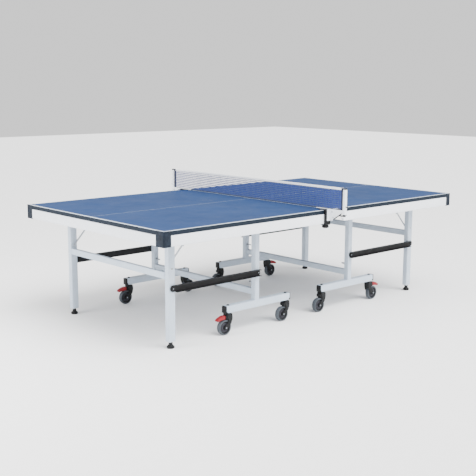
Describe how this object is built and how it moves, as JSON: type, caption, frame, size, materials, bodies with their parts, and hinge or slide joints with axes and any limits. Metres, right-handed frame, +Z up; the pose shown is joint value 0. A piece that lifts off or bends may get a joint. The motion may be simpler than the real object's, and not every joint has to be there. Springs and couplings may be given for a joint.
{
  "type": "ping pong table",
  "caption": "Folding ping pong table of two rolling halves on upright legs, with aprons, link bars, braked castors and a net clamped across the middle.",
  "frame": {"origin": "on the floor, under the middle of the net line", "axes": "+X along the table towards half B, +Y across the table away from the front side, +Z up"},
  "size_m": [2.74, 1.801, 0.9125],
  "materials": {
    "board": "matt blue-grey lacquer with white lines on a dense board, dark edge",
    "apron": "satin silver-white powder coat",
    "tube": "satin silver powder coat",
    "zinc": "zinc plated, dull",
    "black_steel": "semi-matt charcoal powder coat",
    "slate_plastic": "fine-grained dark slate moulding",
    "black_plastic": "fine-grained black moulding",
    "tyre": "grey non-marking tread on a dark moulded wheel",
    "red_plastic": "satin red moulding",
    "net": "blue square mesh with a white top tape"
  },
  "bodies": {
    "trolley_a": {"trolley_arch_a": "tube", "wheel_beam_a_front": "tube", "wheel_beam_a_rear": "tube"},
    "top_a": {"board_a": "board", "apron_a": "apron", "under_frame_a": "zinc", "corner_cap_a_front": "slate_plastic", "corner_cap_a_rear": "slate_plastic", "net": "net", "net_post_front": "tube", "net_post_rear": "tube", "net_clamp_front": "black_plastic", "net_clamp_rear": "black_plastic"},
    "legs_a": {"leg_frame_a": "tube"},
    "braces_a": {"brace_a_front": "zinc", "brace_a_rear": "zinc"},
    "link_bars_a": {"link_bar_a_front": "black_steel", "link_bar_a_rear": "black_steel"},
    "foot_a_front": {"foot_a_front": "black_plastic"},
    "castor_a_front_outer": {"castor_fork_a_front_outer": "black_plastic"},
    "wheel_a_front_outer": {"castor_wheel_a_front_outer": "tyre"},
    "brake_a_front_outer": {"brake_lever_a_front_outer": "red_plastic"},
    "castor_a_front_inner": {"castor_fork_a_front_inner": "black_plastic"},
    "wheel_a_front_inner": {"castor_wheel_a_front_inner": "tyre"},
    "foot_a_rear": {"foot_a_rear": "black_plastic"},
    "castor_a_rear_outer": {"castor_fork_a_rear_outer": "black_plastic"},
    "wheel_a_rear_outer": {"castor_wheel_a_rear_outer": "tyre"},
    "brake_a_rear_outer": {"brake_lever_a_rear_outer": "red_plastic"},
    "castor_a_rear_inner": {"castor_fork_a_rear_inner": "black_plastic"},
    "wheel_a_rear_inner": {"castor_wheel_a_rear_inner": "tyre"},
    "trolley_b": {"trolley_arch_b": "tube", "wheel_beam_b_front": "tube", "wheel_beam_b_rear": "tube"},
    "top_b": {"board_b": "board", "apron_b": "apron", "under_frame_b": "zinc", "corner_cap_b_front": "slate_plastic", "corner_cap_b_rear": "slate_plastic"},
    "legs_b": {"leg_frame_b": "tube"},
    "braces_b": {"brace_b_front": "zinc", "brace_b_rear": "zinc"},
    "link_bars_b": {"link_bar_b_front": "black_steel", "link_bar_b_rear": "black_steel"},
    "foot_b_front": {"foot_b_front": "black_plastic"},
    "castor_b_front_outer": {"castor_fork_b_front_outer": "black_plastic"},
    "wheel_b_front_outer": {"castor_wheel_b_front_outer": "tyre"},
    "brake_b_front_outer": {"brake_lever_b_front_outer": "red_plastic"},
    "castor_b_front_inner": {"castor_fork_b_front_inner": "black_plastic"},
    "wheel_b_front_inner": {"castor_wheel_b_front_inner": "tyre"},
    "foot_b_rear": {"foot_b_rear": "black_plastic"},
    "castor_b_rear_outer": {"castor_fork_b_rear_outer": "black_plastic"},
    "wheel_b_rear_outer": {"castor_wheel_b_rear_outer": "tyre"},
    "brake_b_rear_outer": {"brake_lever_b_rear_outer": "red_plastic"},
    "castor_b_rear_inner": {"castor_fork_b_rear_inner": "black_plastic"},
    "wheel_b_rear_inner": {"castor_wheel_b_rear_inner": "tyre"},
    "clamp_knob_front": {"clamp_knob_front": "black_plastic"},
    "clamp_knob_rear": {"clamp_knob_rear": "black_plastic"}
  },
  "joints": [
    {"name": "half_a_tilt", "type": "hinge", "parent": "trolley_a", "child": "top_a", "pos_m": [-0.458, 0, 0.708], "axis": [0, 1, 0], "range_deg": [0, 85]},
    {"name": "legs_a_fold", "type": "hinge", "parent": "top_a", "child": "legs_a", "pos_m": [-1.156, 0, 0.708], "axis": [0, -1, 0], "range_deg": [0, 85]},
    {"name": "link_bars_a_lift", "type": "hinge", "parent": "trolley_a", "child": "link_bars_a", "pos_m": [-0.458, 0, 0.371], "axis": [0, 1, 0], "range_deg": [0, 85]},
    {"name": "braces_a_fold", "type": "hinge", "parent": "legs_a", "child": "braces_a", "pos_m": [-1.156, 0, 0.49], "axis": [0, 1, 0], "range_deg": [0, 130]},
    {"name": "foot_a_front_screw", "type": "slide", "parent": "legs_a", "child": "foot_a_front", "axis": [0, 0, -1], "range_m": [0, 0.012]},
    {"name": "swivel_a_front_outer", "type": "hinge", "parent": "trolley_a", "child": "castor_a_front_outer", "pos_m": [-0.696, -0.54, 0.142], "axis": [0, 0, 1], "continuous": true},
    {"name": "roll_a_front_outer", "type": "hinge", "parent": "castor_a_front_outer", "child": "wheel_a_front_outer", "pos_m": [-0.728, -0.54, 0.05], "axis": [0, 1, 0], "continuous": true},
    {"name": "brake_a_front_outer_press", "type": "hinge", "parent": "castor_a_front_outer", "child": "brake_a_front_outer", "pos_m": [-0.729, -0.54, 0.106], "axis": [0, -1, 0], "range_deg": [0, 12]},
    {"name": "swivel_a_front_inner", "type": "hinge", "parent": "trolley_a", "child": "castor_a_front_inner", "pos_m": [-0.181, -0.54, 0.142], "axis": [0, 0, 1], "continuous": true},
    {"name": "roll_a_front_inner", "type": "hinge", "parent": "castor_a_front_inner", "child": "wheel_a_front_inner", "pos_m": [-0.213, -0.54, 0.05], "axis": [0, 1, 0], "continuous": true},
    {"name": "foot_a_rear_screw", "type": "slide", "parent": "legs_a", "child": "foot_a_rear", "axis": [0, 0, -1], "range_m": [0, 0.012]},
    {"name": "swivel_a_rear_outer", "type": "hinge", "parent": "trolley_a", "child": "castor_a_rear_outer", "pos_m": [-0.696, 0.54, 0.142], "axis": [0, 0, 1], "continuous": true},
    {"name": "roll_a_rear_outer", "type": "hinge", "parent": "castor_a_rear_outer", "child": "wheel_a_rear_outer", "pos_m": [-0.728, 0.54, 0.05], "axis": [0, 1, 0], "continuous": true},
    {"name": "brake_a_rear_outer_press", "type": "hinge", "parent": "castor_a_rear_outer", "child": "brake_a_rear_outer", "pos_m": [-0.729, 0.54, 0.106], "axis": [0, -1, 0], "range_deg": [0, 12]},
    {"name": "swivel_a_rear_inner", "type": "hinge", "parent": "trolley_a", "child": "castor_a_rear_inner", "pos_m": [-0.181, 0.54, 0.142], "axis": [0, 0, 1], "continuous": true},
    {"name": "roll_a_rear_inner", "type": "hinge", "parent": "castor_a_rear_inner", "child": "wheel_a_rear_inner", "pos_m": [-0.149, 0.54, 0.05], "axis": [0, 1, 0], "continuous": true},
    {"name": "half_b_tilt", "type": "hinge", "parent": "trolley_b", "child": "top_b", "pos_m": [0.458, 0, 0.708], "axis": [0, -1, 0], "range_deg": [0, 85]},
    {"name": "legs_b_fold", "type": "hinge", "parent": "top_b", "child": "legs_b", "pos_m": [1.156, 0, 0.708], "axis": [0, 1, 0], "range_deg": [0, 85]},
    {"name": "link_bars_b_lift", "type": "hinge", "parent": "trolley_b", "child": "link_bars_b", "pos_m": [0.458, 0, 0.371], "axis": [0, -1, 0], "range_deg": [0, 85]},
    {"name": "braces_b_fold", "type": "hinge", "parent": "legs_b", "child": "braces_b", "pos_m": [1.156, 0, 0.49], "axis": [0, -1, 0], "range_deg": [0, 130]},
    {"name": "foot_b_front_screw", "type": "slide", "parent": "legs_b", "child": "foot_b_front", "axis": [0, 0, -1], "range_m": [0, 0.012]},
    {"name": "swivel_b_front_outer", "type": "hinge", "parent": "trolley_b", "child": "castor_b_front_outer", "pos_m": [0.696, -0.54, 0.142], "axis": [0, 0, 1], "continuous": true},
    {"name": "roll_b_front_outer", "type": "hinge", "parent": "castor_b_front_outer", "child": "wheel_b_front_outer", "pos_m": [0.728, -0.54, 0.05], "axis": [0, 1, 0], "continuous": true},
    {"name": "brake_b_front_outer_press", "type": "hinge", "parent": "castor_b_front_outer", "child": "brake_b_front_outer", "pos_m": [0.729, -0.54, 0.106], "axis": [0, 1, 0], "range_deg": [0, 12]},
    {"name": "swivel_b_front_inner", "type": "hinge", "parent": "trolley_b", "child": "castor_b_front_inner", "pos_m": [0.181, -0.54, 0.142], "axis": [0, 0, 1], "continuous": true},
    {"name": "roll_b_front_inner", "type": "hinge", "parent": "castor_b_front_inner", "child": "wheel_b_front_inner", "pos_m": [0.149, -0.54, 0.05], "axis": [0, 1, 0], "continuous": true},
    {"name": "foot_b_rear_screw", "type": "slide", "parent": "legs_b", "child": "foot_b_rear", "axis": [0, 0, -1], "range_m": [0, 0.012]},
    {"name": "swivel_b_rear_outer", "type": "hinge", "parent": "trolley_b", "child": "castor_b_rear_outer", "pos_m": [0.696, 0.54, 0.142], "axis": [0, 0, 1], "continuous": true},
    {"name": "roll_b_rear_outer", "type": "hinge", "parent": "castor_b_rear_outer", "child": "wheel_b_rear_outer", "pos_m": [0.728, 0.54, 0.05], "axis": [0, 1, 0], "continuous": true},
    {"name": "brake_b_rear_outer_press", "type": "hinge", "parent": "castor_b_rear_outer", "child": "brake_b_rear_outer", "pos_m": [0.729, 0.54, 0.106], "axis": [0, 1, 0], "range_deg": [0, 12]},
    {"name": "swivel_b_rear_inner", "type": "hinge", "parent": "trolley_b", "child": "castor_b_rear_inner", "pos_m": [0.181, 0.54, 0.142], "axis": [0, 0, 1], "continuous": true},
    {"name": "roll_b_rear_inner", "type": "hinge", "parent": "castor_b_rear_inner", "child": "wheel_b_rear_inner", "pos_m": [0.149, 0.54, 0.05], "axis": [0, 1, 0], "continuous": true},
    {"name": "half_b_roll", "type": "slide", "parent": "trolley_a", "child": "trolley_b", "axis": [1, 0, 0], "range_m": [0, 0.4]},
    {"name": "clamp_front_screw", "type": "slide", "parent": "top_a", "child": "clamp_knob_front", "axis": [0, 0, -1], "range_m": [0, 0.006]},
    {"name": "clamp_rear_screw", "type": "slide", "parent": "top_a", "child": "clamp_knob_rear", "axis": [0, 0, -1], "range_m": [0, 0.006]}
  ],
  "couplings": [
    {"joint": "legs_a_fold", "follows": "half_a_tilt", "ratio": 1},
    {"joint": "link_bars_a_lift", "follows": "half_a_tilt", "ratio": 1},
    {"joint": "braces_a_fold", "follows": "half_a_tilt", "ratio": 1.515},
    {"joint": "legs_b_fold", "follows": "half_b_tilt", "ratio": 1},
    {"joint": "link_bars_b_lift", "follows": "half_b_tilt", "ratio": 1},
    {"joint": "braces_b_fold", "follows": "half_b_tilt", "ratio": 1.515},
    {"joint": "half_b_roll", "follows": "half_a_tilt", "m_per_rad": 0.25}
  ]
}
